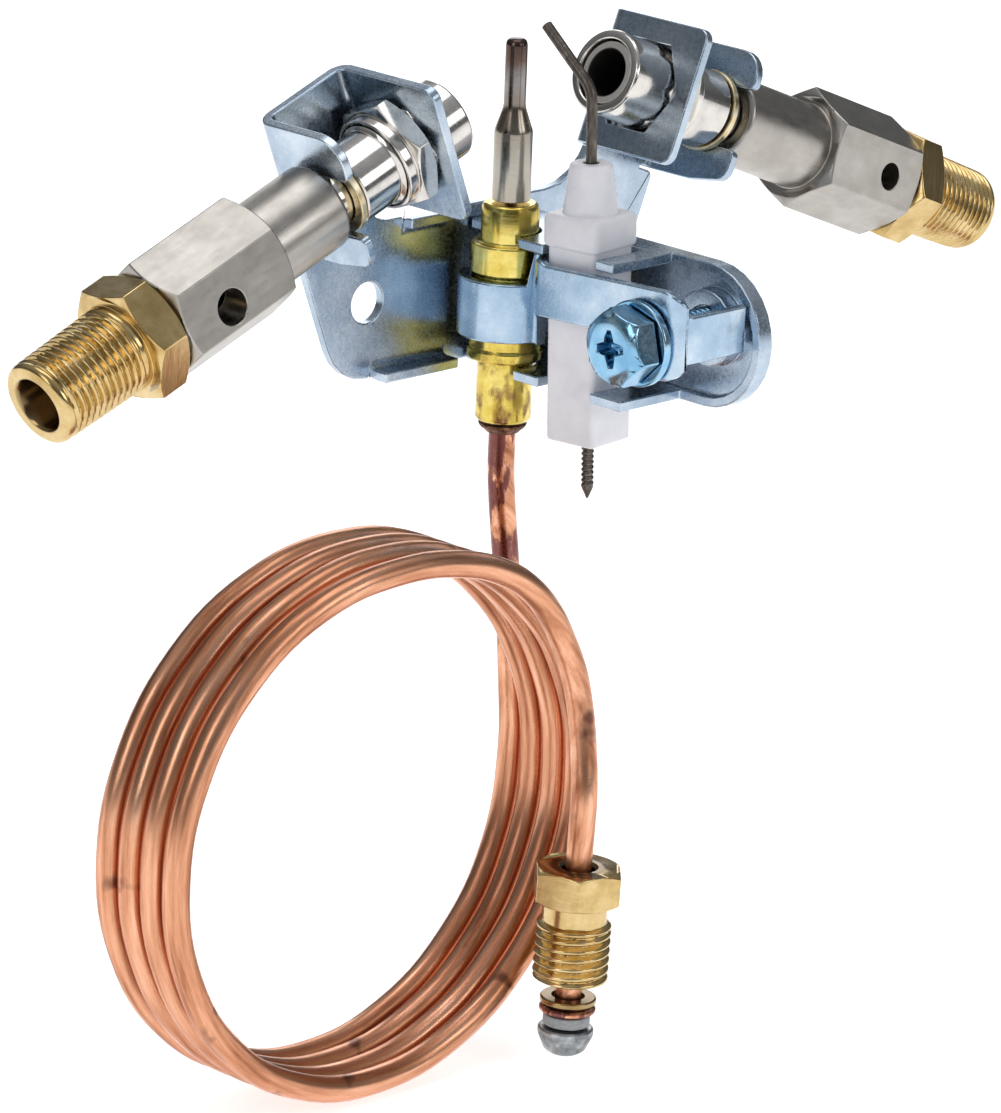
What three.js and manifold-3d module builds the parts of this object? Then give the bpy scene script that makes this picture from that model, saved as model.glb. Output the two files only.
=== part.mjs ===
// Pilot assembly of a vent-free gas heater: a stamped bracket that aims two pilot burners, one for
// each gas, at a thermocouple, with a spark electrode in front and the thermocouple's copper lead
// coiled below. Millimetres, +Z up. The model is laid out about the thermocouple: its axis is
// x = y = 0, both burner axes lie in the plane y = 0, and they cross at z = 0. The whole is then
// moved so that the origin is on the bracket's back face, level with its mounting holes.
import * as THREE from 'three';
import { mergeVertices } from 'three/addons/utils/BufferGeometryUtils.js';
import Module from 'manifold-3d';

const wasm = await Module();
wasm.setup();

// Driving dimensions
const SHEET = 1.2;                 // thickness of the stampings
const GAP = 0.3;                   // left between pieces that touch
const BEND = 1.6;                  // centre-line radius of a sheet bend
const SLOPE = THREE.MathUtils.degToRad(21.9);  // how far the burners point up towards the tip
const CROSSING_X = 3.72;           // where the burner axes meet
const PLATE_BACK = 7.8;            // the plate's back face, behind the burner axes
const HOLE_Z = -28.25;             // height of the mounting holes
const HOLE_RADIUS = 2.4;
const PLATE_TOP = -19;
const PLATE_BOTTOM = -37.2;
const TAB_LOW = -8.1;              // lower edge of the burner arms, off the burner axis
const TAB_REACH = 8.1;             // how far the tabs and forks come forward of the burner axis
const FORK_REACH = 5.5;
const NOZZLE_RADIUS = 5;
const NECK_RADIUS = 3.5;           // where the fork holds the burner
const BURNER_BORE = 3;
const HEX_START = 46.8;            // along the burner axis, from the crossing
const HEX_END = 62.5;
const FITTING_HEX_END = 67.3;
const THREAD_END = 79.7;
const BURNER_AF = 12.75;           // hexagons across flats
const NUT_AF = 12;
const FITTING_AF = 12.7;
const LEAD_RADIUS = 1.55;
const COIL_RADIUS = 31.1;
const COIL_PITCH = 3.5;
const COIL_X = -29.5;
const COIL_Z = -82;
const COIL_START_Y = -1.6;
const COIL_TURNS = 4;
const CHANNEL_FLOOR = 8.1;         // the clamp channel's inner face
const CHANNEL_EDGE = -2.3;         // the free edge of its flanges
const CHANNEL_TOP = -20.6;
const CHANNEL_BOTTOM = -37.2;
const CHANNEL_END_Y = -24.5;       // centre of its rounded end
const CHANNEL_RIM = 7.2;           // the edge of the shallow rim round that end
const SCREW_Y = -25.2;
const SCREW_Z = -27.83;
const STRAP_FACE = -3.8;           // outer face of the strap over the ceramic
const TERMINAL = [-6.07, -21.03, -89.9];          // top of the union nut
const TERMINAL_LEAN = THREE.MathUtils.degToRad(2.1);

// The two burners differ in length. Distances run along each burner's axis from the crossing;
// high is the upper edge of the burner's arm on the bracket, off that axis.
const burners = [
  { name: 'left', side: -1, nozzle: 16.34, tab: 21.9, fork: 35.7, high: 8.8, airHole: 55.95, airRadius: 2 },
  { name: 'right', side: 1, nozzle: 11.28, tab: 17.4, fork: 31.5, high: 8, airHole: 57.2, airRadius: 1.6 },
];

function finish(color, roughness, metalness) {
  return new THREE.MeshStandardMaterial({ color, roughness, metalness });
}
const zinc = finish(0x9aa3b0, 0.4, 0.9);
const blueZinc = finish(0x8f9bb0, 0.35, 0.9);
const nickel = finish(0xa9a59c, 0.3, 1);
const brass = finish(0xb8924a, 0.35, 1);
const copper = finish(0xb9714b, 0.4, 1);
const steel = finish(0x8b8680, 0.4, 1);
const solder = finish(0x4c4038, 0.6, 0.6);
const ceramicWhite = finish(0xf0eee9, 0.35, 0);
const springSteel = finish(0xc0a060, 0.35, 1);

const assembly = new THREE.Group();

function addPiece(parent, name, geometry, material) {
  const piece = new THREE.Mesh(geometry, material);
  piece.name = name;
  parent.add(piece);
  return piece;
}

// A closed geometry as a solid that can be joined and cut.
function solid(geometry) {
  const bare = geometry.clone();
  bare.deleteAttribute('normal');
  bare.deleteAttribute('uv');
  const merged = mergeVertices(bare, 1e-4);
  const corners = merged.index.array;
  const kept = [];
  for (let i = 0; i < corners.length; i += 3) {
    const [a, b, c] = corners.slice(i, i + 3);
    if (a !== b && b !== c && c !== a) kept.push(a, b, c);
  }
  const mesh = new wasm.Mesh({
    numProp: 3,
    vertProperties: new Float32Array(merged.attributes.position.array),
    triVerts: new Uint32Array(kept),
  });
  return new wasm.Manifold(mesh);
}

function geometryOf(body) {
  const mesh = body.getMesh();
  const geometry = new THREE.BufferGeometry();
  geometry.setAttribute('position', new THREE.BufferAttribute(mesh.vertProperties, 3));
  geometry.setIndex(new THREE.BufferAttribute(mesh.triVerts, 1));
  return geometry;
}

// Points of an outline whose corners [x, y, radius] are rounded.
function roundedPoints(corners, open = false) {
  const points = [];
  corners.forEach(([x, y, radius = 0], i) => {
    const corner = new THREE.Vector2(x, y);
    const isEnd = open && (i === 0 || i === corners.length - 1);
    if (radius === 0 || isEnd) {
      points.push(corner);
      return;
    }
    const before = corners[(i + corners.length - 1) % corners.length];
    const after = corners[(i + 1) % corners.length];
    const back = new THREE.Vector2(before[0] - x, before[1] - y).normalize();
    const ahead = new THREE.Vector2(after[0] - x, after[1] - y).normalize();
    const half = Math.acos(THREE.MathUtils.clamp(back.dot(ahead), -1, 1)) / 2;
    const middle = back.clone().add(ahead).normalize().multiplyScalar(radius / Math.sin(half));
    const centre = corner.clone().add(middle);
    const reach = radius / Math.tan(half);
    const start = corner.clone().addScaledVector(back, reach).sub(centre);
    const end = corner.clone().addScaledVector(ahead, reach).sub(centre);
    const turn = Math.atan2(start.cross(end), start.dot(end));
    const steps = Math.max(3, Math.ceil(Math.abs(turn) / 0.3));
    for (let k = 0; k <= steps; k += 1) {
      points.push(start.clone().rotateAround(new THREE.Vector2(), (turn * k) / steps).add(centre));
    }
  });
  return points;
}

// The edge of a bent sheet: an open centre line, thickened to both sides.
function bandPoints(centreLine, thickness = SHEET) {
  const one = [];
  const other = [];
  centreLine.forEach((point, i) => {
    const before = centreLine[Math.max(i - 1, 0)];
    const after = centreLine[Math.min(i + 1, centreLine.length - 1)];
    const along = after.clone().sub(before).normalize();
    const across = new THREE.Vector2(-along.y, along.x).multiplyScalar(thickness / 2);
    one.push(point.clone().add(across));
    other.unshift(point.clone().sub(across));
  });
  return [...one, ...other];
}

function extruded(points, depth, holes = []) {
  const shape = new THREE.Shape(points);
  holes.forEach((hole) => shape.holes.push(new THREE.Path(hole)));
  return new THREE.ExtrudeGeometry(shape, { depth, bevelEnabled: false });
}

function circlePoints(x, y, radius, steps = 24, phase = 0) {
  const points = [];
  for (let k = 0; k < steps; k += 1) {
    const angle = phase + (2 * Math.PI * k) / steps;
    points.push(new THREE.Vector2(x + radius * Math.cos(angle), y + radius * Math.sin(angle)));
  }
  return points;
}

// Outline [x, z] in the plate's plane, filling from backY towards the front.
function inPlatePlane(points, depth, backY, holes = []) {
  return extruded(points, depth, holes).rotateX(Math.PI / 2).translate(0, backY, 0);
}

// Outline [y, z] seen from the side, filling from x towards +X.
function inSidePlane(points, depth, x, holes = []) {
  const frame = new THREE.Matrix4().makeBasis(
    new THREE.Vector3(0, 1, 0),
    new THREE.Vector3(0, 0, 1),
    new THREE.Vector3(1, 0, 0),
  );
  return extruded(points, depth, holes).applyMatrix4(frame).translate(x, 0, 0);
}

function box(x0, x1, y0, y1, z0, z1) {
  return new THREE.BoxGeometry(x1 - x0, y1 - y0, z1 - z0)
    .translate((x0 + x1) / 2, (y0 + y1) / 2, (z0 + z1) / 2);
}

// A turned piece, profile [radius, height]. A bored piece closes its profile on itself.
function turned(profile, sides = 24) {
  const points = profile.map(([radius, height]) => new THREE.Vector2(radius, height));
  if (profile[0][0] > 0) points.push(points[0].clone());
  return new THREE.LatheGeometry(points, sides);
}

// A hexagonal prism along local Y with both ends chamfered, bored through.
function hexagon(acrossFlats, from, to, boreRadius, turn) {
  const corner = acrossFlats / Math.sqrt(3);
  const prism = new THREE.CylinderGeometry(corner, corner, to - from, 6)
    .rotateY(turn)
    .translate(0, (from + to) / 2, 0);
  const edge = (corner - acrossFlats / 2) * 0.6;
  const round = turned([
    [boreRadius, from], [acrossFlats / 2, from], [corner + 0.05, from + edge],
    [corner + 0.05, to - edge], [acrossFlats / 2, to], [boreRadius, to],
  ]);
  return solid(prism).intersect(solid(round));
}

// Bracket. Arm coordinates are s along the burner axis and w across it, in the plate's plane.
function onArm(burner, s, w) {
  const x = CROSSING_X + burner.side * (s * Math.cos(SLOPE) + w * Math.sin(SLOPE));
  return [x, -s * Math.sin(SLOPE) + w * Math.cos(SLOPE)];
}

// The w at which the line of constant s reaches a height.
function armAtHeight(s, z) {
  return (z + s * Math.sin(SLOPE)) / Math.cos(SLOPE);
}

function armFrame(burner) {
  const { side } = burner;
  const along = new THREE.Vector3(side * Math.cos(SLOPE), 0, -Math.sin(SLOPE));
  const across = new THREE.Vector3(side * Math.sin(SLOPE), 0, Math.cos(SLOPE));
  return new THREE.Matrix4()
    .makeBasis(along, across, along.clone().cross(across))
    .setPosition(CROSSING_X, 0, 0);
}

// One side of the plate's outline, from the middle of its top edge to the middle of its bottom.
// It stops just inside the burner arm, whose own sheet covers the rest.
function plateSide(burner, innerFillet) {
  const bendStart = burner.tab + BEND + SHEET / 2 + GAP;
  const bendEnd = burner.fork - BEND - SHEET / 2 - GAP;
  const top = burner.high - GAP;
  const [topX] = onArm(burner, bendStart, armAtHeight(bendStart, PLATE_TOP));
  const [bottomX] = onArm(burner, burner.fork, armAtHeight(burner.fork, PLATE_BOTTOM));
  return [
    [topX, PLATE_TOP, innerFillet],
    [...onArm(burner, bendStart, top), 0],
    [...onArm(burner, bendEnd, top), 0],
    [...onArm(burner, bendEnd, TAB_LOW - GAP), 0],
    [...onArm(burner, burner.fork, TAB_LOW - GAP), 0.8],
    [bottomX, PLATE_BOTTOM, 6.5],
  ];
}

// A burner arm: a tab in front and a fork behind, bent up from the plate's sheet.
function arm(burner) {
  const { side, tab, fork, high } = burner;
  const middle = PLATE_BACK - SHEET / 2;
  const legs = roundedPoints([
    [tab + SHEET / 2, side * TAB_REACH],
    [tab + SHEET / 2, -side * middle, BEND],
    [fork - SHEET / 2, -side * middle, BEND],
    [fork - SHEET / 2, side * TAB_REACH],
  ], true);
  const channelFrame = new THREE.Matrix4().makeRotationX(Math.PI / 2);
  const channel = extruded(bandPoints(legs), high - TAB_LOW)
    .applyMatrix4(channelFrame)
    .translate(0, high, 0);

  // Outlines of the two legs seen along the burner axis, as [front, w].
  const tabOutline = roundedPoints([
    [-10, TAB_LOW], [TAB_REACH, TAB_LOW, 1.5], [TAB_REACH, high, 1.5], [-10, high],
  ]);
  const tabHole = circlePoints(0, 0, 5.95, 6);
  const slot = NECK_RADIUS + 0.15;
  const slotEnd = [];
  for (let k = 0; k <= 10; k += 1) {
    const angle = -Math.PI / 2 - (Math.PI * k) / 10;
    slotEnd.push([slot * Math.cos(angle), slot * Math.sin(angle)]);
  }
  const forkOutline = roundedPoints([
    [-10, TAB_LOW], [0, TAB_LOW, 2], [FORK_REACH, TAB_LOW + 0.9, 1.6],
    [FORK_REACH, -slot, 0.8], ...slotEnd,
    [FORK_REACH, slot, 0.8], [FORK_REACH, high, 3.2], [-10, high],
  ]);
  const legFrame = new THREE.Matrix4().makeBasis(
    new THREE.Vector3(0, 0, side),
    new THREE.Vector3(0, 1, 0),
    new THREE.Vector3(-side, 0, 0),
  );
  const split = (tab + fork) / 2;
  const tabSolid = extruded(tabOutline, split - tab + 1, [tabHole]);
  const forkSolid = extruded(forkOutline, fork + 1 - split);
  tabSolid.applyMatrix4(legFrame).translate(side > 0 ? split : tab - 1, 0, 0);
  forkSolid.applyMatrix4(legFrame).translate(side > 0 ? fork + 1 : split, 0, 0);
  return solid(channel)
    .intersect(solid(tabSolid).add(solid(forkSolid)))
    .transform(armFrame(burner).elements);
}

// A lip bent forward along the plate's top or bottom edge.
function lip(fromX, toX, edgeZ, reach) {
  const middle = PLATE_BACK - SHEET / 2;
  const inward = edgeZ === PLATE_TOP ? -1 : 1;
  const centreLine = roundedPoints([
    [middle, edgeZ + inward * 6],
    [middle, edgeZ + inward * SHEET / 2, BEND],
    [PLATE_BACK - SHEET - reach, edgeZ + inward * SHEET / 2],
  ], true);
  const bent = solid(inSidePlane(bandPoints(centreLine), toX - fromX, fromX));
  const bendZ = edgeZ + inward * (BEND + SHEET / 2);
  const low = Math.min(bendZ, edgeZ - inward);
  const high = Math.max(bendZ, edgeZ - inward);
  const room = solid(box(fromX, toX, 0, PLATE_BACK + 1, low, high));
  return { bent, room };
}

function bracketGeometry() {
  const [left, right] = burners;
  const outline = [...plateSide(left, 3), ...plateSide(right, 8).reverse()];
  const holes = burners.map((burner) => {
    const s = burner.fork - 7.2;
    const [x] = onArm(burner, s, armAtHeight(s, HOLE_Z));
    return circlePoints(x, HOLE_Z, HOLE_RADIUS);
  });
  let plate = solid(inPlatePlane(roundedPoints(outline), SHEET, PLATE_BACK, holes));
  const lips = [
    lip(-10.5, -3.6, PLATE_TOP, 1.5),
    lip(-15, -3.6, PLATE_BOTTOM, 2.8),
    lip(10.5, 18, PLATE_BOTTOM, 2.8),
  ];
  lips.forEach(({ bent, room }) => {
    plate = plate.subtract(room).add(bent);
  });
  burners.forEach((burner) => {
    plate = plate.add(arm(burner));
  });
  return geometryOf(plate);
}
addPiece(assembly, 'bracket', bracketGeometry(), zinc);

// Clamp channel: a pressed tray with a rounded end, spot-welded to the plate by its foot.
function channelGeometry() {
  const middle = (CHANNEL_TOP + CHANNEL_BOTTOM) / 2;
  const half = (CHANNEL_TOP - CHANNEL_BOTTOM) / 2;
  const nearY = PLATE_BACK - SHEET - GAP;
  const depth = CHANNEL_FLOOR - CHANNEL_EDGE;
  function trayOutline(inset, back) {
    const points = [new THREE.Vector2(back, middle + half - inset)];
    for (let k = 0; k <= 14; k += 1) {
      const angle = Math.PI / 2 + (Math.PI * k) / 14;
      const radius = half - inset;
      const point = new THREE.Vector2(radius * Math.cos(angle), radius * Math.sin(angle));
      points.push(point.add(new THREE.Vector2(CHANNEL_END_Y, middle)));
    }
    points.push(new THREE.Vector2(back, middle - half + inset));
    return points;
  }
  const outer = solid(inSidePlane(trayOutline(0, nearY), depth + SHEET, CHANNEL_EDGE));
  const inner = solid(inSidePlane(trayOutline(SHEET, nearY + 1), depth + 1, CHANNEL_EDGE - 1));
  const cuts = [
    box(CHANNEL_EDGE - 1, CHANNEL_RIM, -40, -18.7, middle, 0),
    box(CHANNEL_EDGE - 1, CHANNEL_RIM, -40, -20.8, -45, middle),
    box(CHANNEL_EDGE - 1, 0, -3.6, 10, -45, 0),
    box(CHANNEL_EDGE - 1, 5.6, -15.9, -7.6, -45, 0),
    new THREE.CylinderGeometry(3.6, 3.6, 60, 24).rotateX(Math.PI / 2).translate(0, 0, middle),
  ];
  let tray = outer.subtract(inner);
  cuts.forEach((cut) => {
    tray = tray.subtract(solid(cut));
  });
  const foot = box(CHANNEL_FLOOR, CHANNEL_FLOOR + 9, nearY - SHEET, nearY, middle - 6, middle + 6);
  const boss = new THREE.CylinderGeometry(4.4, 4.4, 2.5, 24)
    .rotateZ(Math.PI / 2)
    .translate(CHANNEL_FLOOR - 0.75, SCREW_Y, SCREW_Z);
  const tapped = new THREE.CylinderGeometry(2.6, 2.6, 8, 20)
    .rotateZ(Math.PI / 2)
    .translate(CHANNEL_FLOOR, SCREW_Y, SCREW_Z);
  return geometryOf(tray.add(solid(foot)).add(solid(boss)).subtract(solid(tapped)));
}
addPiece(assembly, 'clamp_channel', channelGeometry(), zinc);

// Clamp strap: wraps the thermocouple's bushing, then crosses the ceramic to its screw.
function strapGeometry() {
  const wrap = 5.1;
  const straight = STRAP_FACE + SHEET / 2;
  const line = [];
  for (let k = 0; k <= 12; k += 1) {
    const angle = THREE.MathUtils.degToRad(108 + (142 * k) / 12);
    line.push([wrap * Math.cos(angle), wrap * Math.sin(angle)]);
  }
  const centreLine = roundedPoints([
    ...line, [0.7, -5.68, 1], [straight, -8.2, 1.5], [straight, -30.2, 1.8], [CHANNEL_RIM - GAP, -30.2],
  ], true);
  const band = extruded(bandPoints(centreLine), 12).translate(0, 0, -33);
  // Edges of the strap seen from its outer side, as [y, z]: it is cut away under the upper
  // collar, below the ceramic's bend and around the screw.
  const profile = roundedPoints([
    [8, -32.7], [-6.6, -32.7], [-7, -28.5, 1], [-19, -27.9, 1.5], [-22.5, -31.7, 3],
    [-31, -31.7, 3], [-31, -21.3, 3], [-9.5, -22.4, 1],
    [-8.8, -22.1, 0.4], [-5.5, -22.1], [-5.2, -25.8], [8, -25.8],
  ]);
  const edges = solid(inSidePlane(profile, 24, -10));
  const legRoom = solid(box(-2.2, 12, -40, -29, -40, -29.6)).add(solid(box(-2.2, 12, -40, -29, -24.2, 0)));
  const screwHole = new THREE.CylinderGeometry(2.8, 2.8, 8, 20)
    .rotateZ(Math.PI / 2)
    .translate(STRAP_FACE, SCREW_Y, SCREW_Z);
  return geometryOf(solid(band).intersect(edges).subtract(legRoom).subtract(solid(screwHole)));
}
addPiece(assembly, 'clamp_strap', strapGeometry(), blueZinc);

// Clamp screw and its captive washer, turned about local Y, which points out of the head.
const screwGroup = new THREE.Group();
screwGroup.position.set(STRAP_FACE - GAP, SCREW_Y, SCREW_Z);
screwGroup.rotation.z = Math.PI / 2;
assembly.add(screwGroup);

function screwGeometry() {
  const headFrom = 1 + GAP;
  const headTo = 4.9;
  const corner = 7.94 / Math.sqrt(3);
  const head = solid(new THREE.CylinderGeometry(corner, corner, headTo - headFrom, 6)
    .translate(0, (headFrom + headTo) / 2, 0));
  const dome = solid(turned([
    [0, headFrom - 1], [corner + 0.1, headFrom - 1], [corner + 0.1, headTo - 0.7],
    [3.7, headTo], [0, headTo],
  ]));
  const shank = solid(turned([
    [0, -16], [1.8, -16], [2.4, -15], [2.4, 1], [2.4, 1.6], [0, 1.6],
  ]));
  const recess = [0, Math.PI / 2].map((turn) => solid(new THREE.BoxGeometry(4.6, 2.4, 1)
    .rotateY(turn)
    .translate(0, headTo - 0.9, 0)));
  return geometryOf(head.intersect(dome).add(shank).subtract(recess[0]).subtract(recess[1]));
}
addPiece(screwGroup, 'clamp_screw', screwGeometry(), blueZinc);
addPiece(screwGroup, 'screw_washer', turned([[2.7, 0], [4.9, 0], [4.9, 1], [2.7, 1]]), blueZinc);

// Thermocouple. Its sheath is a drawn steel tube, closed at the tip.
const thermocouple = new THREE.Group();
thermocouple.rotation.x = Math.PI / 2;
assembly.add(thermocouple);

addPiece(thermocouple, 'thermocouple_sheath', turned([
  [0.7, -17.13], [2.2, -17.13], [2.2, -9.1], [2.05, -8.6], [1.3, -6.4], [1.25, -6],
  [1.25, 0.9], [0.9, 1.4], [0, 1.5], [0, 0.4], [0.7, 0.4],
]), steel);
addPiece(thermocouple, 'inner_conductor', turned([[0, -40], [0.4, -40], [0.4, 0], [0, 0]], 12), copper);
addPiece(thermocouple, 'thermocouple_bushing', turned([
  [0.7, -42.93], [3.2, -42.93], [3.2, -35.53], [4.4, -35.53], [4.4, -34.23], [4.2, -34.23],
  [4.2, -25.43], [4.4, -25.43], [4.4, -21.93], [3.3, -21.93], [3.3, -17.9], [2.9, -17.43],
  [0.7, -17.43],
]), brass);
addPiece(thermocouple, 'solder_neck', turned([
  [0, -44.4], [1.9, -44.4], [2.6, -43.9], [2.8, -43.23], [0, -43.23],
], 20), solder);

// Spark electrode: a square ceramic with a stepped nose, a wire bent to the tip, a stud below.
const electrode = new THREE.Group();
electrode.position.set(1.5, -11.75, -30);
electrode.quaternion.setFromAxisAngle(
  new THREE.Vector3(Math.SQRT1_2, Math.SQRT1_2, 0),
  -THREE.MathUtils.degToRad(1.6),
);
assembly.add(electrode);

function ceramicGeometry() {
  const nose = new THREE.CylinderGeometry(2.4, 3.15, 5.7, 24).rotateX(Math.PI / 2).translate(0, 0, 16.35);
  const shoulder = new THREE.BoxGeometry(7.9, 7.9, 3.8).translate(0, 0, 11.6);
  const body = new THREE.BoxGeometry(7, 7, 23).translate(0, 0, -1.4);
  const bore = new THREE.CylinderGeometry(0.9, 0.9, 60, 16).rotateX(Math.PI / 2);
  const block = solid(nose).add(solid(shoulder)).add(solid(body)).subtract(solid(bore));
  return geometryOf(block).rotateZ(THREE.MathUtils.degToRad(5));
}
addPiece(electrode, 'electrode_ceramic', ceramicGeometry(), ceramicWhite);

// A round tube along a centre line.
function tube(points, radius, steps, sides = 8) {
  const curve = new THREE.CatmullRomCurve3(points.map(([x, y, z]) => new THREE.Vector3(x, y, z)));
  curve.curveType = 'centripetal';
  const section = new THREE.Shape(circlePoints(0, 0, radius, sides));
  return new THREE.ExtrudeGeometry(section, { steps, extrudePath: curve, bevelEnabled: false });
}
addPiece(electrode, 'electrode_wire', tube([
  [0, 0, -6], [0, 0, 10], [0, 0, 21], [0, 0, 26], [-0.1, 0.4, 27.9], [-0.15, 2.8, 30], [-0.23, 7.08, 33.77],
], 0.62, 24, 10), steel);
addPiece(electrode, 'electrode_stud', turned([
  [0, -19.9], [0.25, -19.8], [0.7, -18.9], [0.7, -6.3], [0, -6.3],
], 16).rotateX(Math.PI / 2), steel);

// Burners. Local Y runs along the burner axis away from the crossing, local Z faces forward.
function buildBurner(burner) {
  const { name, side, nozzle, tab, fork, airHole, airRadius } = burner;
  const along = new THREE.Vector3(side * Math.cos(SLOPE), 0, -Math.sin(SLOPE));
  const front = new THREE.Vector3(0, -1, 0);
  const group = new THREE.Group();
  group.quaternion.setFromRotationMatrix(
    new THREE.Matrix4().makeBasis(along.clone().cross(front), along, front),
  );
  group.position.set(CROSSING_X, 0, 0);
  assembly.add(group);

  const nutFrom = tab + SHEET + GAP;
  const nutTo = nutFrom + 2.5;
  const ringFrom = fork - SHEET - GAP - 0.9;
  const tubeEnd = fork + 0.2;
  const mouth = 3.9;
  const throat = 2.75;
  addPiece(group, `${name}_burner_tube`, turned([
    [mouth, nozzle], [NOZZLE_RADIUS - 0.3, nozzle], [NOZZLE_RADIUS, nozzle + 0.3],
    [NOZZLE_RADIUS, nutTo + 1.5], [4.6, nutTo + 1.8], [4.6, ringFrom - GAP], [NECK_RADIUS, ringFrom - GAP],
    [NECK_RADIUS, tubeEnd], [throat, tubeEnd], [throat, nozzle + 8], [mouth, nozzle + 8],
  ]), nickel);
  addPiece(group, `${name}_flame_liner`, turned([
    [throat, nozzle + 0.4], [mouth - 0.2, nozzle + 0.4], [mouth - 0.2, nozzle + 7.6], [throat, nozzle + 7.6],
  ]), steel);

  const nut = hexagon(NUT_AF, nutFrom, nutTo, NOZZLE_RADIUS + 0.2, THREE.MathUtils.degToRad(22));
  const nutBore = NOZZLE_RADIUS + 0.2;
  const collar = turned([
    [nutBore, nutTo - 0.2], [5.6, nutTo - 0.2], [5.6, nutTo + 1.4], [nutBore, nutTo + 1.4],
  ]);
  addPiece(group, `${name}_lock_nut`, geometryOf(nut.add(solid(collar))), nickel);

  // The snap ring is open at the back.
  const ringInner = NECK_RADIUS + 0.2;
  const ring = solid(turned([
    [ringInner, ringFrom], [4.8, ringFrom], [4.8, ringFrom + 0.9], [ringInner, ringFrom + 0.9],
  ]));
  const ringGap = box(-2.4, 2.4, ringFrom - 1, ringFrom + 2, -6, -2);
  addPiece(group, `${name}_snap_ring`, geometryOf(ring.subtract(solid(ringGap))), springSteel);

  const bodyHex = hexagon(BURNER_AF, HEX_START, HEX_END, BURNER_BORE, THREE.MathUtils.degToRad(27));
  const barrel = turned([
    [BURNER_BORE, fork + 0.5], [4.9, fork + 0.5], [5.15, fork + 0.9], [5.15, HEX_START + 0.5],
    [BURNER_BORE, HEX_START + 0.5],
  ]);
  const air = new THREE.CylinderGeometry(airRadius, airRadius, 20, 20)
    .rotateX(Math.PI / 2)
    .translate(0, airHole, 0);
  addPiece(group, `${name}_mixer_body`, geometryOf(bodyHex.add(solid(barrel)).subtract(solid(air))), nickel);

  const fittingTurn = THREE.MathUtils.degToRad(8);
  const fittingHex = hexagon(FITTING_AF, HEX_END + GAP, FITTING_HEX_END, BURNER_BORE, fittingTurn);
  const taper = turned([
    [BURNER_BORE, FITTING_HEX_END - 0.5], [5.15, FITTING_HEX_END - 0.5], [5.15, FITTING_HEX_END + 1],
    [4.95, THREAD_END - 0.9], [4.4, THREAD_END], [BURNER_BORE, THREAD_END],
  ]);
  addPiece(group, `${name}_inlet_fitting`, geometryOf(fittingHex.add(solid(taper))), brass);

  addPiece(group, `${name}_gas_jet`, turned([
    [0.4, 59.3], [1.4, 59.3], [2.7, 60.6], [2.7, 66.5], [1.2, 66.5], [1.2, 61.5], [0.4, 60.4],
  ], 16), brass);
}
burners.forEach(buildBurner);

// Lead: down from the bushing, four turns about an axis along Y, and down to its terminal.
const coilTop = COIL_Z + Math.sqrt((COIL_RADIUS + 1.6) ** 2 - (COIL_RADIUS - 1.6) ** 2);
const coilSideX = COIL_X + COIL_RADIUS;
addPiece(assembly, 'lead_drop', tube([
  [0, 0, -44.7], [0, 0, -48], [0.3, -0.3, -52.5], [0.8, -0.8, -58],
  [coilSideX - 0.2, COIL_START_Y, -64], [coilSideX, COIL_START_Y, coilTop + 2 * GAP],
], LEAD_RADIUS, 8), copper);

const coilFrontY = COIL_START_Y - COIL_PITCH * (COIL_TURNS - 0.5) - LEAD_RADIUS;
const coil = addPiece(assembly, 'lead_coil', turned([
  [COIL_RADIUS - 1.6, coilFrontY], [COIL_RADIUS + 1.6, coilFrontY],
  [COIL_RADIUS + 1.6, COIL_START_Y + LEAD_RADIUS], [COIL_RADIUS - 1.6, COIL_START_Y + LEAD_RADIUS],
], 48), copper);
coil.position.set(COIL_X, 0, COIL_Z);

// The last eighth of a turn leaves the front of the coil and comes down in front of it, into the
// terminal, which leans a little from the vertical.
const terminalFrame = new THREE.Matrix4()
  .makeRotationAxis(new THREE.Vector3(Math.SQRT1_2, Math.SQRT1_2, 0), TERMINAL_LEAN)
  .setPosition(...TERMINAL);
const stubLength = 16.35;
const straight = [7.8, 5, -6, -stubLength]
  .map((height) => new THREE.Vector3(0, 0, height).applyMatrix4(terminalFrame).toArray());
addPiece(assembly, 'lead_end', tube([
  [-8.6, -17.4, -58.6], [-6.7, -17.8, -62.3], [-5.4, -18.4, -66.5], [-5.1, -19.3, -71.5],
  [-5.4, -20.2, -77], ...straight,
], LEAD_RADIUS, 15), copper);

// Terminal: a union nut and a loose washer on the lead, above a crimped cone.
const terminal = new THREE.Group();
terminal.applyMatrix4(terminalFrame.clone().multiply(new THREE.Matrix4().makeRotationX(Math.PI / 2)));
assembly.add(terminal);

function unionNutGeometry() {
  const bore = LEAD_RADIUS + 0.35;
  const head = hexagon(9.5, -4.1, 0, bore, THREE.MathUtils.degToRad(12));
  const stem = turned([
    [bore, -13.65], [3.9, -13.65], [4.35, -13.2], [4.35, -6.8], [3.35, -6.6],
    [3.35, -3.9], [bore, -3.9],
  ]);
  return geometryOf(head.add(solid(stem)));
}
addPiece(terminal, 'union_nut', unionNutGeometry(), brass);
addPiece(terminal, 'loose_washer', turned([
  [1.9, -16.35], [3.25, -16.35], [3.25, -15.6], [1.9, -15.6],
], 20), brass);
addPiece(terminal, 'terminal_shoulder', turned([
  [0, -17.4], [3.25, -17.4], [3.25, -16.8], [2.9, -16.65], [0, -16.65],
], 20), copper);
addPiece(terminal, 'terminal_insulator', turned([
  [0, -19], [2.7, -19], [2.7, -17.7], [0, -17.7],
], 20), ceramicWhite);
addPiece(terminal, 'terminal_cone', turned([
  [0, -22.6], [1.3, -22.6], [1.7, -22.4], [2.4, -21.9], [3.2, -20.1], [3.2, -19.3], [0, -19.3],
], 20), steel);

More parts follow.
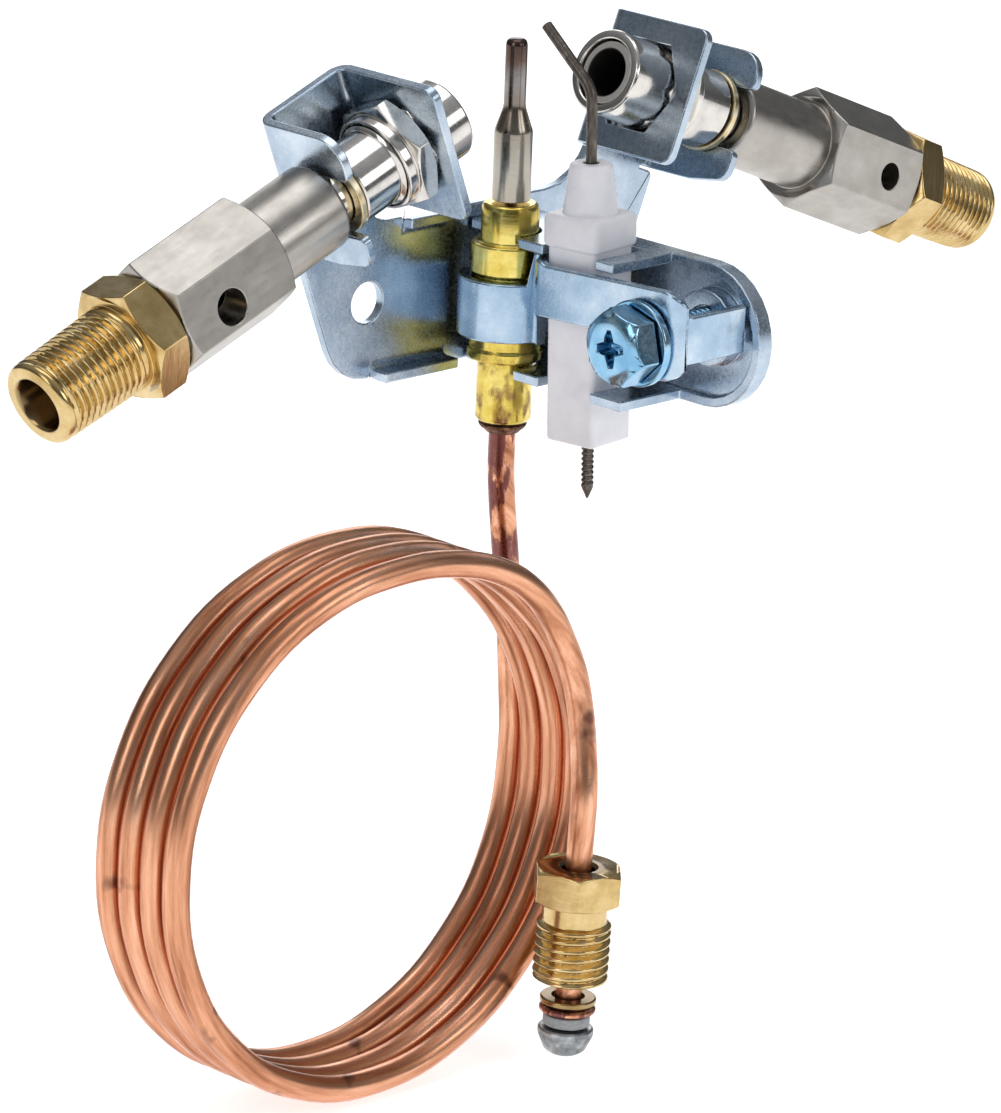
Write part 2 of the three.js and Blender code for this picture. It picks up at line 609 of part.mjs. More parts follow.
// Bring the bracket's back face and the height of its mounting holes to the origin.
const part = new THREE.Group();
assembly.position.set(0, -PLATE_BACK, -HOLE_Z);
part.add(assembly);

export default part;
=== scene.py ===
import math

import bmesh
import bpy
from mathutils import Matrix, Vector


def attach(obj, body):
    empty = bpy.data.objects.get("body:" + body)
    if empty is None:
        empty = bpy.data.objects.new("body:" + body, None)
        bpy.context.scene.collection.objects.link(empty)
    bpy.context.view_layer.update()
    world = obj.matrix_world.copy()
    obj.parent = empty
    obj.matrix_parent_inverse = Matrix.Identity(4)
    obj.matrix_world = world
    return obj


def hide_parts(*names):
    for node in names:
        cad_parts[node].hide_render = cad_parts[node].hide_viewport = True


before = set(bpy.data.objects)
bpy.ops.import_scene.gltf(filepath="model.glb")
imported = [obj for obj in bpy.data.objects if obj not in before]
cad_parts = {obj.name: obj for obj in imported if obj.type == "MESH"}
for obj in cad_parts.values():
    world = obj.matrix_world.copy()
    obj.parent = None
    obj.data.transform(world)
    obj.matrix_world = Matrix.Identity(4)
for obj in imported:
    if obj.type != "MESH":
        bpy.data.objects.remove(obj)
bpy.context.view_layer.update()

# Camera. It stands in front and to the left of the pilot, a little above it, with a long lens,
# and leans by two degrees. Sizes are in millimetres, and MM turns them into metres.
MM = 0.001
CROSSING_X, CROSSING_Z = 3.72, 28.25  # where the two burner axes meet
AXES_Y = -7.8  # the burners' axes and the thermocouple's, in front of the bracket's back
CROSSING = Vector((CROSSING_X, AXES_Y, CROSSING_Z)) * MM
CAMERA_AWAY, CAMERA_DOWN, CAMERA_LEFT = 785.0, 57.497, 4.48
azimuth, elevation, lean = (math.radians(angle) for angle in (-44.936, 16.669, 2.192))
ahead = Vector((
    -math.sin(azimuth) * math.cos(elevation),
    math.cos(azimuth) * math.cos(elevation),
    -math.sin(elevation),
))
level = Vector((math.cos(azimuth), math.sin(azimuth), 0))
upright = level.cross(ahead)
right = level * math.cos(lean) + upright * math.sin(lean)
top = upright * math.cos(lean) - level * math.sin(lean)

camera_data = bpy.data.cameras.new("camera")
camera_data.lens = 225.15
camera_data.clip_start = 0.05
camera_data.clip_end = 20
camera = bpy.data.objects.new("camera", camera_data)
camera.matrix_world = Matrix((right, top, -ahead)).transposed().to_4x4()
camera.location = CROSSING - (right * CAMERA_LEFT + top * CAMERA_DOWN + ahead * CAMERA_AWAY) * MM
bpy.context.scene.collection.objects.link(camera)
bpy.context.scene.camera = camera


# Thermocouple lead: a drawn copper tube, 3.1 mm across, with an insulated wire inside. It leaves
# the bushing, runs down into three and a half turns wound by hand, and comes off the top of the
# coil in front of it, down into the terminal, which leans by two degrees.
LEAD_DIAMETER = 3.1
COIL_CENTRE = (-29.93, -81.89)
COIL_RADII = (31.64, 30.49)
COIL_PITCH = 3.63
COIL_FROM_Y = -1.71
POINTS_PER_TURN = 16
TERMINAL_TOP = Vector((-6.07, -21.03, -89.9))
TERMINAL_UP = Vector((0.02591, -0.02591, 0.99933))


def from_axis(x, y, z):
    """The place of a point given from the thermocouple's axis and the height of CROSSING."""
    return Vector((x, y + AXES_Y, z + CROSSING_Z)) * MM


def coil_point(turns, forward):
    """A point of the winding, moved forward of its own turn by so many millimetres."""
    angle = 2 * math.pi * turns
    x = COIL_CENTRE[0] + COIL_RADII[0] * math.cos(angle)
    z = COIL_CENTRE[1] - COIL_RADII[1] * math.sin(angle)
    return from_axis(x - forward, COIL_FROM_Y - COIL_PITCH * turns - forward, z)


lead_route = [from_axis(*point) for point in (
    (0, 0, -44.4), (0, 0, -46), (0, 0, -48), (0.1, -0.1, -51), (0.35, -0.35, -55),
    (0.7, -0.7, -60), (1.1, -1.1, -66), (1.5, -1.5, -74),
)]
for step in range(int(3.5 * POINTS_PER_TURN) + 1):
    lead_route.append(coil_point(step / POINTS_PER_TURN, 0))
for turns, forward in ((3.5625, 0.15), (3.625, 0.45), (3.6875, 0.85), (3.75, 1.2)):
    lead_route.append(coil_point(turns, forward))
lead_route += [from_axis(*point) for point in (
    (-22.0, -16.9, -52.2), (-16.2, -17.1, -54.1), (-12.0, -17.3, -56.7), (-8.9, -17.4, -60.0),
    (-6.9, -17.7, -63.5), (-5.5, -18.3, -67.3), (-4.9, -19.0, -71.5), (-5.1, -20.1, -76.6),
)]
for height in (7.8, 5, 0, -6, -12, -16.35):
    lead_route.append(from_axis(*(TERMINAL_TOP + TERMINAL_UP * height)))


def bent_wire(name, route, radius, steps):
    """A round wire or tube along a smooth curve through the route's points."""
    curve = bpy.data.curves.new(name, "CURVE")
    curve.dimensions = "3D"
    curve.resolution_u = steps
    curve.bevel_depth = radius * MM
    curve.bevel_resolution = 6
    curve.use_fill_caps = True
    line = curve.splines.new("BEZIER")
    line.bezier_points.add(len(route) - 1)
    for knot, place in zip(line.bezier_points, route):
        knot.co = place
        knot.handle_left_type = "AUTO"
        knot.handle_right_type = "AUTO"
    piece = bpy.data.objects.new(name, curve)
    bpy.context.scene.collection.objects.link(piece)
    return piece


lead = bent_wire("lead", lead_route, LEAD_DIAMETER / 2, 6)


def add_node(tree, kind, inputs=None, **settings):
    """One shader node; inputs are values, or sockets to join."""
    made = tree.nodes.new("ShaderNode" + kind)
    for name, value in settings.items():
        setattr(made, name, value)
    for name, value in (inputs or {}).items():
        if isinstance(value, bpy.types.NodeSocket):
            tree.links.new(value, made.inputs[name])
        else:
            made.inputs[name].default_value = value
    return made


def new_finish(name, metallic):
    """A material with its node tree and its shader."""
    material = bpy.data.materials.new(name)
    material.use_nodes = True
    tree = material.node_tree
    shader = tree.nodes["Principled BSDF"]
    shader.inputs["Metallic"].default_value = metallic
    return material, tree, shader


def place_in(tree, stretch=(1, 1, 1)):
    """The piece's own coordinates in metres, stretched."""
    coordinates = add_node(tree, "TexCoord").outputs["Object"]
    return add_node(tree, "Mapping", {"Vector": coordinates, "Scale": stretch}).outputs["Vector"]


def mottle(tree, place, size, detail=4.0):
    """Soft blotches of about that size, in millimetres, from 0 to 1."""
    inputs = {"Vector": place, "Scale": 1 / (size * MM), "Detail": detail, "Roughness": 0.6}
    return add_node(tree, "TexNoise", inputs).outputs["Fac"]


def shades(tree, factor, stops):
    """Colours along a ramp; stops are (position, (red, green, blue))."""
    ramp = add_node(tree, "ValToRGB", {"Fac": factor})
    elements = ramp.color_ramp.elements
    while len(elements) < len(stops):
        elements.new(0.5)
    for element, (position, colour) in zip(elements, stops):
        element.position = position
        element.color = (*colour, 1)
    return ramp.outputs["Color"]


def spread(tree, factor, low, high, start=0.3, end=0.7):
    """A factor's middle range brought to low and high."""
    inputs = {"Value": factor, "From Min": start, "From Max": end, "To Min": low, "To Max": high}
    return add_node(tree, "MapRange", inputs).outputs["Result"]


def blend_colour(tree, factor, under, over):
    """The colour over, laid on the colour under by a factor."""
    mix = add_node(tree, "Mix", data_type="RGBA")
    for socket, value in ((mix.inputs[0], factor), (mix.inputs[6], under), (mix.inputs[7], over)):
        if isinstance(value, bpy.types.NodeSocket):
            tree.links.new(value, socket)
        else:
            socket.default_value = (*value, 1)
    return mix.outputs[2]


def times(tree, one, other):
    return add_node(tree, "Math", {0: one, 1: other}, operation="MULTIPLY").outputs[0]


def raise_grain(tree, shader, height, depth):
    """Fine relief, depth in millimetres."""
    inputs = {"Height": height, "Distance": depth * MM, "Strength": 1.0}
    bump = add_node(tree, "Bump", inputs)
    tree.links.new(bump.outputs["Normal"], shader.inputs["Normal"])


# Drawn copper: pink where it is clean, with brown oxide in streaks along the tube, a few dark
# spots, and a heat stain under the soldered joint at the bushing.
copper_finish, tree, shader = new_finish("drawn_copper", 1.0)
split = add_node(tree, "SeparateXYZ", {"Vector": place_in(tree)})
across = add_node(tree, "Math", {0: split.outputs["X"], 1: COIL_CENTRE[0] * MM}, operation="SUBTRACT")
coil_height = (COIL_CENTRE[1] + CROSSING_Z) * MM
above = add_node(tree, "Math", {0: split.outputs["Z"], 1: coil_height}, operation="SUBTRACT")
bearing = add_node(tree, "Math", {0: above.outputs[0], 1: across.outputs[0]}, operation="ARCTAN2")
bearing = add_node(tree, "Math", {0: bearing.outputs[0]}, operation="ABSOLUTE")
flat_place = add_node(tree, "CombineXYZ", {"X": across.outputs[0], "Y": above.outputs[0]})
reach = add_node(tree, "VectorMath", {0: flat_place.outputs[0]}, operation="LENGTH")
streak_place = add_node(tree, "CombineXYZ", {
    "X": reach.outputs["Value"],
    "Y": split.outputs["Y"],
    "Z": times(tree, bearing.outputs[0], 0.0022),
}).outputs[0]
streaks = mottle(tree, streak_place, 1.1, 5.0)
drawn_lines = mottle(tree, streak_place, 0.22, 3.0)
clean = shades(tree, streaks, (
    (0.30, (0.34, 0.13, 0.065)), (0.45, (0.60, 0.27, 0.15)),
    (0.58, (0.76, 0.38, 0.23)), (0.75, (0.88, 0.52, 0.36)),
))
spots = spread(tree, mottle(tree, place_in(tree), 9, 3.0), 0, 0.85, 0.66, 0.72)
spotted = blend_colour(tree, spots, clean, (0.16, 0.065, 0.045))
below_bushing = spread(tree, split.outputs["Z"], 0, 1, -0.040, -0.030)
near_joint = times(tree, below_bushing, spread(tree, split.outputs["X"], 0, 1, -0.006, -0.003))
stain_edge = spread(tree, mottle(tree, place_in(tree, (1, 1, 0.4)), 2.6, 5.0), 0, 0.9, 0.47, 0.52)
stain = times(tree, near_joint, stain_edge)
tree.links.new(blend_colour(tree, stain, spotted, (0.15, 0.05, 0.055)), shader.inputs["Base Color"])
tree.links.new(spread(tree, streaks, 0.40, 0.22), shader.inputs["Roughness"])
raise_grain(tree, shader, drawn_lines, 0.012)
lead.data.materials.append(copper_finish)
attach(lead, "root")
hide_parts("lead_drop", "lead_coil", "lead_end")


# Studio: a pale floor that the coil and the terminal stand on, an even sky, and soft boxes to the
# left, to the right and overhead.
FLOOR_Z = -0.0862
floor_mesh = bpy.data.meshes.new("floor")
corners = [(-6, -6, FLOOR_Z), (6, -6, FLOOR_Z), (6, 6, FLOOR_Z), (-6, 6, FLOOR_Z)]
floor_mesh.from_pydata(corners, [], [(0, 1, 2, 3)])
floor = bpy.data.objects.new("floor", floor_mesh)
bpy.context.scene.collection.objects.link(floor)
floor_finish, tree, shader = new_finish("pale_floor", 0.0)
shader.inputs["Roughness"].default_value = 0.9
shader.inputs["Emission Color"].default_value = (1, 1, 1, 1)
shader.inputs["Emission Strength"].default_value = 0.70
paper = mottle(tree, place_in(tree), 60, 2.0)
tree.links.new(shades(tree, paper, (
    (0.3, (0.83, 0.83, 0.83)), (0.7, (0.86, 0.86, 0.86)),
)), shader.inputs["Base Color"])
floor_mesh.materials.append(floor_finish)

sky = bpy.data.worlds.new("sky")
sky.use_nodes = True
sky_back = sky.node_tree.nodes["Background"]
sky_back.inputs["Strength"].default_value = 0.5
sky_place = add_node(sky.node_tree, "TexCoord").outputs["Generated"]
sky_height = add_node(sky.node_tree, "SeparateXYZ", {"Vector": sky_place}).outputs["Z"]
sky.node_tree.links.new(shades(sky.node_tree, sky_height, (
    (0.0, (0.36, 0.37, 0.39)), (0.16, (0.19, 0.195, 0.205)), (0.42, (0.36, 0.38, 0.40)),
    (0.9, (0.85, 0.87, 0.92)),
)), sky_back.inputs["Color"])
bpy.context.scene.world = sky


def soft_box(name, place, width, height, watts):
    """A rectangular light that faces the pilot."""
    light = bpy.data.lights.new(name, "AREA")
    light.shape = "RECTANGLE"
    light.size = width
    light.size_y = height
    light.energy = watts
    lamp = bpy.data.objects.new(name, light)
    lamp.location = place
    lamp.rotation_euler = (Vector((0, -0.01, -0.01)) - Vector(place)).to_track_quat("-Z", "Y").to_euler()
    bpy.context.scene.collection.objects.link(lamp)


soft_box("left_box", (-0.85, -0.10, 0.42), 0.35, 0.6, 1.45)
soft_box("front_box", (0.20, -0.90, 0.38), 0.6, 0.35, 1.7)
soft_box("top_box", (0.05, 0.05, 0.85), 0.7, 0.5, 2.1)
soft_box("rear_box", (0.55, 0.65, 0.30), 0.4, 0.5, 1.2)
bpy.context.scene.view_settings.view_transform = "Standard"


# Bracket: one zinc-plated steel stamping, 1.2 mm thick, with a tab and a fork bent forward on
# each arm to carry a burner, short stiffening lips, and two mounting holes.
def eased_copy(name, node, edge):
    """A new piece on a node's own shape, its triangles merged and its sharp edges rounded off."""
    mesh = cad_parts[node].data.copy()
    mesh.name = name
    mesh.materials.clear()
    work = bmesh.new()
    work.from_mesh(mesh)
    bmesh.ops.remove_doubles(work, verts=work.verts, dist=2e-6)
    bmesh.ops.dissolve_limit(
        work, angle_limit=math.radians(0.6), verts=work.verts, edges=work.edges,
    )
    work.to_mesh(mesh)
    work.free()
    piece = bpy.data.objects.new(name, mesh)
    bpy.context.scene.collection.objects.link(piece)
    round_edges(piece, edge)
    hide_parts(node)
    return piece


def round_edges(piece, edge, sharp=32):
    """Rounds every edge sharper than an angle in degrees, to a radius in millimetres."""
    for layer in piece.data.attributes.keys():
        if layer in ("custom_normal", "sharp_face", "sharp_edge"):
            piece.data.attributes.remove(piece.data.attributes[layer])
    piece.data.shade_smooth()
    rounding = piece.modifiers.new("edges", "BEVEL")
    rounding.width = edge * MM
    rounding.segments = 3
    rounding.limit_method = "ANGLE"
    rounding.angle_limit = math.radians(sharp)
    rounding.use_clamp_overlap = False
    rounding.harden_normals = True


def plated_steel(name, stops, rough_low, rough_high):
    """Zinc plate on rolled sheet: cloudy patches, fine rolling marks and a few stains."""
    finish, tree, shader = new_finish(name, 1.0)
    place = place_in(tree)
    clouds = mottle(tree, place, 7, 6.0)
    colour = shades(tree, clouds, stops)
    stains = spread(tree, mottle(tree, place_in(tree, (1, 1, 0.5)), 5, 5.0), 0, 0.55, 0.60, 0.72)
    stained = blend_colour(tree, stains, colour, (0.22, 0.25, 0.29))
    speckle = mottle(tree, place, 0.45, 4.0)
    grain = spread(tree, speckle, 0, 0.22, 0.45, 0.68)
    tree.links.new(blend_colour(tree, grain, stained, (0.24, 0.30, 0.37)), shader.inputs["Base Color"])
    tree.links.new(spread(tree, speckle, rough_high, rough_low), shader.inputs["Roughness"])
    raise_grain(tree, shader, speckle, 0.010)
    return finish


zinc_finish = plated_steel("zinc_plate", (
    (0.30, (0.32, 0.40, 0.50)), (0.48, (0.43, 0.52, 0.62)), (0.66, (0.58, 0.66, 0.74)),
), 0.20, 0.34)
bracket = eased_copy("bracket_stamping", "bracket", 0.22)
bracket.data.materials.append(zinc_finish)
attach(bracket, "root")


# Clamp: a pressed tray spot-welded to the bracket, and a strap round the thermocouple's bushing
# that crosses the ceramic. One screw pulls the strap's leg into the tray and holds both.
tray = eased_copy("clamp_tray", "clamp_channel", 0.2)
tray.data.materials.append(zinc_finish)
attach(tray, "root")

strap_finish = plated_steel("zinc_plate_strap", (
    (0.30, (0.29, 0.41, 0.55)), (0.50, (0.42, 0.55, 0.68)), (0.68, (0.60, 0.70, 0.79)),
), 0.18, 0.32)
strap = eased_copy("clamp_band", "clamp_strap", 0.25)
strap.data.materials.append(strap_finish)
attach(strap, "root")


# Clamp screw: a 10-32 machine screw with a domed hexagon head and a cross recess, rolled from
# steel wire and blue zinc-plated, with its captive flat washer.
SCREW_AXIS_AT = from_axis(-4.1, -25.2, -27.83)


def mesh_piece(name, places, faces):
    """A mesh object from points in millimetres."""
    mesh = bpy.data.meshes.new(name)
    mesh.from_pydata([Vector(place) * MM for place in places], [], faces)
    piece = bpy.data.objects.new(name, mesh)
    bpy.context.scene.collection.objects.link(piece)
    return piece


def turned(name, profile, sides=96, radius_at=None):
    """A lathe piece about local Z. The profile holds (radius, height); a bored piece closes on
    itself. radius_at(radius, height, turn) cuts a thread."""
    places = []
    rings = []
    for radius, height in profile:
        if radius == 0:
            rings.append([len(places)] * sides)
            places.append((0, 0, height))
            continue
        ring = []
        for side in range(sides):
            angle = 2 * math.pi * side / sides
            size = radius_at(radius, height, side / sides) if radius_at else radius
            ring.append(len(places))
            places.append((size * math.cos(angle), size * math.sin(angle), height))
        rings.append(ring)
    if profile[0][0] > 0:
        rings.append(rings[0])
    faces = []
    for lower, upper in zip(rings, rings[1:]):
        for side in range(sides):
            after = (side + 1) % sides
            face = list(dict.fromkeys((lower[side], lower[after], upper[after], upper[side])))
            if len(face) > 2:
                faces.append(face)
    piece = mesh_piece(name, places, faces)
    work = bmesh.new()
    work.from_mesh(piece.data)
    bmesh.ops.recalc_face_normals(work, faces=work.faces)
    work.to_mesh(piece.data)
    work.free()
    return piece


def prism(name, outline, low, high):
    """A straight prism along local Z."""
    count = len(outline)
    places = [(x, y, low) for x, y in outline] + [(x, y, high) for x, y in outline]
    sides = [[k, (k + 1) % count, count + (k + 1) % count, count + k] for k in range(count)]
    return mesh_piece(name, places, [list(range(count))[::-1], list(range(count, 2 * count)), *sides])


def hexagon(across_flats, turn):
    """A hexagon's corners, the first of them turned from local X."""
    corner = across_flats / math.sqrt(3)
    angles = [math.radians(60 * k) + turn for k in range(6)]
    return [(corner * math.cos(angle), corner * math.sin(angle)) for angle in angles]


def shape_with(piece, tool, operation):
    """Joins or cuts a piece with another, which is used up."""
    change = piece.modifiers.new("shape", "BOOLEAN")
    change.operation = operation
    change.object = tool
    change.solver = "EXACT"
    graph = bpy.context.evaluated_depsgraph_get()
    shaped = bpy.data.meshes.new_from_object(piece.evaluated_get(graph))
    piece.modifiers.clear()
    old = piece.data
    piece.data = shaped
    shaped.name = piece.name
    bpy.data.meshes.remove(old)
    bpy.data.objects.remove(tool)
    return piece


def tidy_faces(piece):
    """Merges what a cut leaves: doubled points and split flat faces."""
    work = bmesh.new()
    work.from_mesh(piece.data)
    bmesh.ops.remove_doubles(work, verts=work.verts, dist=4e-6)
    bmesh.ops.dissolve_limit(
        work, angle_limit=math.radians(0.4), verts=work.verts, edges=work.edges,
    )
    work.to_mesh(piece.data)
    work.free()


def thread(pitch, depth, start, end):
    """A radius for turned(): V grooves at a pitch, running out at both ends."""
    def cut(radius, height, turn):
        if not start < height < end:
            return radius
        phase = (height / pitch - turn) % 1
        groove = min(1, abs(2 * phase - 1) * 1.35)
        runout = min(1, (height - start) / pitch, (end - height) / pitch)
        return radius - depth * (1 - groove) * runout
    return cut


def threaded_profile(radius_from, radius_to, start, end, pitch):
    """Rings close enough together to show a thread, ten to a pitch."""
    count = int(10 * (end - start) / pitch)
    spans = [k / count for k in range(count + 1)]
    return [
        (radius_from + (radius_to - radius_from) * span, start + (end - start) * span)
        for span in spans
    ]


def standing(origin, axis, side):
    """The frame of a turned piece: local Z along axis, and local X as near to side as it can be."""
    z = Vector(axis).normalized()
    x = (Vector(side) - z * Vector(side).dot(z)).normalized()
    matrix = Matrix((x, z.cross(x), z)).transposed().to_4x4()
    matrix.translation = origin
    return matrix


HEAD_LOW, HEAD_HIGH = 1.3, 4.9
screw = prism("screw_with_recess", hexagon(7.94, math.radians(14)), HEAD_LOW, HEAD_HIGH)
dome = turned("dome", [
    (0, 0), (4.7, 0), (4.7, 3.3), (4.55, 3.75), (4.1, 4.35), (3.5, 4.7), (2.7, 4.88), (0, 4.9),
])
shape_with(screw, dome, "INTERSECT")
SCREW_PITCH = 0.79
shank = turned("shank", [
    (0, -16), (1.7, -16), (2.0, -15.6),
    *threaded_profile(2.4, 2.4, -15, -0.2, SCREW_PITCH), (2.4, 1.6), (0, 1.6),
], 48, thread(SCREW_PITCH, 0.42, -15.2, -0.3))
shape_with(screw, shank, "UNION")
for turn in (math.radians(8), math.radians(98)):
    slot = prism("slot", [(-2.5, -0.42), (-0.9, -0.8), (0.9, -0.8), (2.5, -0.42),
                          (2.5, 0.42), (0.9, 0.8), (-0.9, 0.8), (-2.5, 0.42)], 3.0, 6)
    slot.data.transform(Matrix.Rotation(turn, 4, "Z"))
    for point in slot.data.vertices:
        if point.co.z < 4 * MM:
            point.co.x *= 0.55
            point.co.y *= 0.55
    shape_with(screw, slot, "DIFFERENCE")
tidy_faces(screw)
round_edges(screw, 0.16, 30)
screw.matrix_world = standing(SCREW_AXIS_AT, (-1, 0, 0), (0, 0, 1))

blue_finish = plated_steel("blue_zinc", (
    (0.30, (0.12, 0.32, 0.54)), (0.50, (0.26, 0.50, 0.70)), (0.70, (0.50, 0.70, 0.84)),
), 0.12, 0.24)
screw.data.materials.append(blue_finish)
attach(screw, "screw")
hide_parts("clamp_screw")

washer = turned("screw_flat_washer", [
    (2.7, 0), (4.75, 0), (4.9, 0.15), (4.9, 0.85), (4.75, 1), (2.7, 1),
])
round_edges(washer, 0.08)
washer.matrix_world = standing(SCREW_AXIS_AT, (-1, 0, 0), (0, 0, 1))
washer.data.materials.append(blue_finish)
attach(washer, "washer")
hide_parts("screw_washer")


# Thermocouple: a drawn steel sheath closed at the tip, swaged into a turned brass bushing, and
# hard-soldered to the lead below. The flame has tinted the tip brown and black.
THERMOCOUPLE_AT = from_axis(0, 0, 0)
THERMOCOUPLE_FRAME = standing(THERMOCOUPLE_AT, (0, 0, 1), (1, 0, 0))
sheath = turned("sheath", [
    (0.7, -17.13), (2.2, -17.13), (2.2, -9.3), (2.16, -9.0), (2.02, -8.6), (1.45, -6.9),
    (1.33, -6.5), (1.26, -6.0), (1.25, 0.7), (1.2, 1.02), (1.05, 1.28), (0.8, 1.44),
    (0.4, 1.5), (0, 1.5), (0, 0.4), (0.7, 0.4),
])
sheath_finish, tree, shader = new_finish("heat_tinted_steel", 1.0)
place = place_in(tree)
height = add_node(tree, "SeparateXYZ", {"Vector": place}).outputs["Z"]
wander = times(tree, mottle(tree, place, 2.2, 5.0), 0.004)
level_at = add_node(tree, "Math", {0: height, 1: wander}, operation="ADD").outputs[0]
tint = spread(tree, level_at, 0, 1, -0.0165, 0.004)
tree.links.new(shades(tree, tint, (
    (0.0, (0.40, 0.35, 0.28)), (0.26, (0.44, 0.41, 0.36)), (0.44, (0.36, 0.32, 0.26)),
    (0.58, (0.27, 0.22, 0.18)), (0.74, (0.33, 0.31, 0.30)), (0.86, (0.16, 0.105, 0.085)),
    (1.0, (0.06, 0.045, 0.04)),
)), shader.inputs["Base Color"])
turning = mottle(tree, place_in(tree, (1, 1, 12)), 1.2, 3.0)
tree.links.new(spread(tree, turning, 0.14, 0.28), shader.inputs["Roughness"])
raise_grain(tree, shader, turning, 0.003)
sheath.data.materials.append(sheath_finish)
round_edges(sheath, 0.1)
sheath.matrix_world = THERMOCOUPLE_FRAME
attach(sheath, "root")
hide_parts("thermocouple_sheath")


def from_its_axis(tree):
    """Distance from a turned piece's own axis."""
    place = place_in(tree, (1, 1, 0))
    return add_node(tree, "VectorMath", {0: place}, operation="LENGTH").outputs["Value"]


def turned_brass(name, stops, stained=False, ring_size=3.0, bore=None):
    """Machined brass: turning rings, warm and pale patches, brown stains at the lower end, and
    painted shade that darkens the inside of a drilled bore."""
    finish, tree, shader = new_finish(name, 1.0)
    place = place_in(tree)
    patches = mottle(tree, place, 3.5, 5.0)
    colour = shades(tree, patches, stops)
    if stained:
        height = add_node(tree, "SeparateXYZ", {"Vector": place}).outputs["Z"]
        low_end = spread(tree, height, 1, 0.12, -0.043, -0.030)
        marks = spread(tree, mottle(tree, place_in(tree, (1, 1, 0.6)), 1.6, 6.0), 0, 1, 0.50, 0.62)
        colour = blend_colour(tree, times(tree, low_end, marks), colour, (0.20, 0.10, 0.05))
    if bore:
        # Painted shade: inside the bore's radius the colour is darkened to a deep brown.
        painted_shade_and_dull_patches = spread(tree, from_its_axis(tree), 0.85, 0, (bore + 0.05) * MM, (bore + 0.5) * MM)
        colour = blend_colour(tree, painted_shade_and_dull_patches, colour, (0.10, 0.06, 0.03))
    tree.links.new(colour, shader.inputs["Base Color"])
    rings = mottle(tree, place_in(tree, (1, 1, 14)), ring_size, 3.0)
    tree.links.new(spread(tree, rings, 0.13, 0.26), shader.inputs["Roughness"])
    raise_grain(tree, shader, rings, 0.003)
    return finish


bushing = turned("bushing", [
    (0.7, -42.93), (2.9, -42.93), (3.2, -42.6), (3.2, -35.75), (3.35, -35.53), (4.25, -35.53),
    (4.4, -35.38), (4.4, -34.4), (4.2, -34.1), (4.2, -25.6), (4.4, -25.3), (4.4, -22.1),
    (4.25, -21.93), (3.45, -21.93), (3.3, -21.75), (3.3, -18.1), (3.1, -17.6), (2.8, -17.43),
    (0.7, -17.43),
])
bushing_finish = turned_brass("bushing_brass", (
    (0.30, (0.46, 0.32, 0.06)), (0.48, (0.68, 0.52, 0.11)), (0.68, (0.82, 0.69, 0.24)),
), stained=True)
bushing.data.materials.append(bushing_finish)
round_edges(bushing, 0.1, 26)
bushing.matrix_world = THERMOCOUPLE_FRAME
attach(bushing, "root")
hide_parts("thermocouple_bushing")

solder = turned("solder_fillet", [
    (0, -44.4), (1.75, -44.4), (1.95, -44.3), (2.15, -44.05), (2.5, -43.8), (2.75, -43.5),
    (2.8, -43.23), (0, -43.23),
])
solder_finish, tree, shader = new_finish("hard_solder", 0.8)
crust = mottle(tree, place_in(tree), 0.8, 6.0)
tree.links.new(shades(tree, crust, (
    (0.35, (0.05, 0.025, 0.02)), (0.52, (0.20, 0.09, 0.05)), (0.70, (0.42, 0.22, 0.13)),
)), shader.inputs["Base Color"])
tree.links.new(spread(tree, crust, 0.7, 0.4), shader.inputs["Roughness"])
raise_grain(tree, shader, crust, 0.12)
solder.data.materials.append(solder_finish)
round_edges(solder, 0.08, 26)
solder.matrix_world = THERMOCOUPLE_FRAME
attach(solder, "root")
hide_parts("solder_neck")

core = turned("inner_wire", [(0, -40), (0.32, -40), (0.4, -39.9), (0.4, -0.1), (0.32, 0), (0, 0)], 24)
core.data.materials.append(copper_finish)
round_edges(core, 0.05)
core.matrix_world = THERMOCOUPLE_FRAME
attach(core, "root")
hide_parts("inner_conductor")


# Spark electrode: a square porcelain insulator with a stepped, tapered nose. A heat-resisting
# wire comes out of the nose and bends to the thermocouple's tip; a ringed stud takes the lead.
electrode_frame = Matrix.Translation(from_axis(1.5, -11.75, -30)) @ Matrix.Rotation(
    -math.radians(1.6), 4, Vector((1, 1, 0)),
)
CERAMIC_TURN = math.radians(5)
CERAMIC_BORE = 0.9
CORNER_POINTS = 7


def rounded_square(half, radius, rings):
    """The points of a square bar with rounded corners; each of its rings is (inset, height)."""
    places = []
    for inset, height in rings:
        for quarter in range(4):
            for step in range(CORNER_POINTS):
                angle = math.radians(90 * (quarter + step / (CORNER_POINTS - 1)))
                x = math.copysign(half - radius, math.cos(math.radians(90 * quarter + 45)))
                y = math.copysign(half - radius, math.sin(math.radians(90 * quarter + 45)))
                reach = radius - inset
                places.append((x + reach * math.cos(angle), y + reach * math.sin(angle), height))
    return places


def square_bar(name, half, radius, rings):
    """A closed square bar through those rings."""
    places = rounded_square(half, radius, rings)
    around = 4 * CORNER_POINTS
    faces = [list(range(around))[::-1], list(range(len(places) - around, len(places)))]
    for ring in range(len(rings) - 1):
        for k in range(around):
            after = (k + 1) % around
            one, other = ring * around, (ring + 1) * around
            faces.append([one + k, one + after, other + after, other + k])
    return mesh_piece(name, places, faces)


